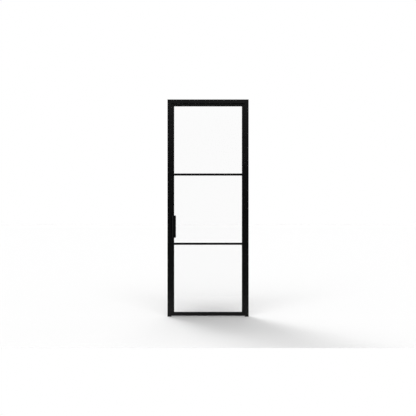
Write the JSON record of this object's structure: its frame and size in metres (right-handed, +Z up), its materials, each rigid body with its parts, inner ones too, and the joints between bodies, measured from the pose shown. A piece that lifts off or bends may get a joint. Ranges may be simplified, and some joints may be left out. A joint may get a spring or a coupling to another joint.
{
  "type": "steel interior door",
  "caption": "Slim steel door set with a frame, a glazed leaf with thin level bars, lift-off hinges and an upright pull on each face.",
  "frame": {"origin": "on the underside of the hinge jamb's foot: the middle of its lining across and of the frame's depth, on the finished floor", "axes": "+Z up; +Y through the doorway, away from the front, the way the leaf opens; +X from the lock side to the hinge side, so the door set lies on the -X side of the origin"},
  "size_m": [0.88, 0.13, 2.355],
  "materials": {
    "frame_steel": "satin",
    "leaf_steel": "satin",
    "bead_steel": "satin",
    "pull_steel": "satin",
    "hinge_steel": "satin",
    "brass": "satin",
    "catch_plastic": "matte",
    "rubber": "matte",
    "glass": "polished"
  },
  "bodies": {
    "frame": {"jamb_lock_stop": "frame_steel", "jamb_lock_lining": "frame_steel", "jamb_hinge_stop": "frame_steel", "jamb_hinge_lining": "frame_steel", "head_stop": "frame_steel", "head_lining": "frame_steel", "seal_lock": "rubber", "seal_hinge": "rubber", "seal_head": "rubber", "magnet_catch": "catch_plastic", "hinge_frame_half_1": "hinge_steel", "hinge_frame_half_2": "hinge_steel", "hinge_frame_half_3": "hinge_steel", "hinge_washer_1": "brass", "hinge_washer_2": "brass", "hinge_washer_3": "brass"},
    "leaf": {"stile_lock": "leaf_steel", "stile_hinge": "leaf_steel", "rail_top": "leaf_steel", "rail_bottom": "leaf_steel", "bar_1": "leaf_steel", "bar_2": "leaf_steel", "glass_1": "glass", "glass_2": "glass", "glass_3": "glass", "gasket_1": "rubber", "gasket_2": "rubber", "gasket_3": "rubber", "bead_1_bottom": "bead_steel", "bead_1_top": "bead_steel", "bead_1_lock": "bead_steel", "bead_1_hinge": "bead_steel", "bead_2_bottom": "bead_steel", "bead_2_top": "bead_steel", "bead_2_lock": "bead_steel", "bead_2_hinge": "bead_steel", "bead_3_bottom": "bead_steel", "bead_3_top": "bead_steel", "bead_3_lock": "bead_steel", "bead_3_hinge": "bead_steel", "pull_front": "pull_steel", "pull_back": "pull_steel", "hinge_leaf_half_1": "hinge_steel", "hinge_leaf_half_2": "hinge_steel", "hinge_leaf_half_3": "hinge_steel"}
  },
  "joints": [
    {"name": "leaf_swing", "type": "hinge", "parent": "frame", "child": "leaf", "pos_m": [-0.015, 0.0433, 1.1655], "axis": [0, 0, -1], "range_deg": [0, 170]}
  ]
}
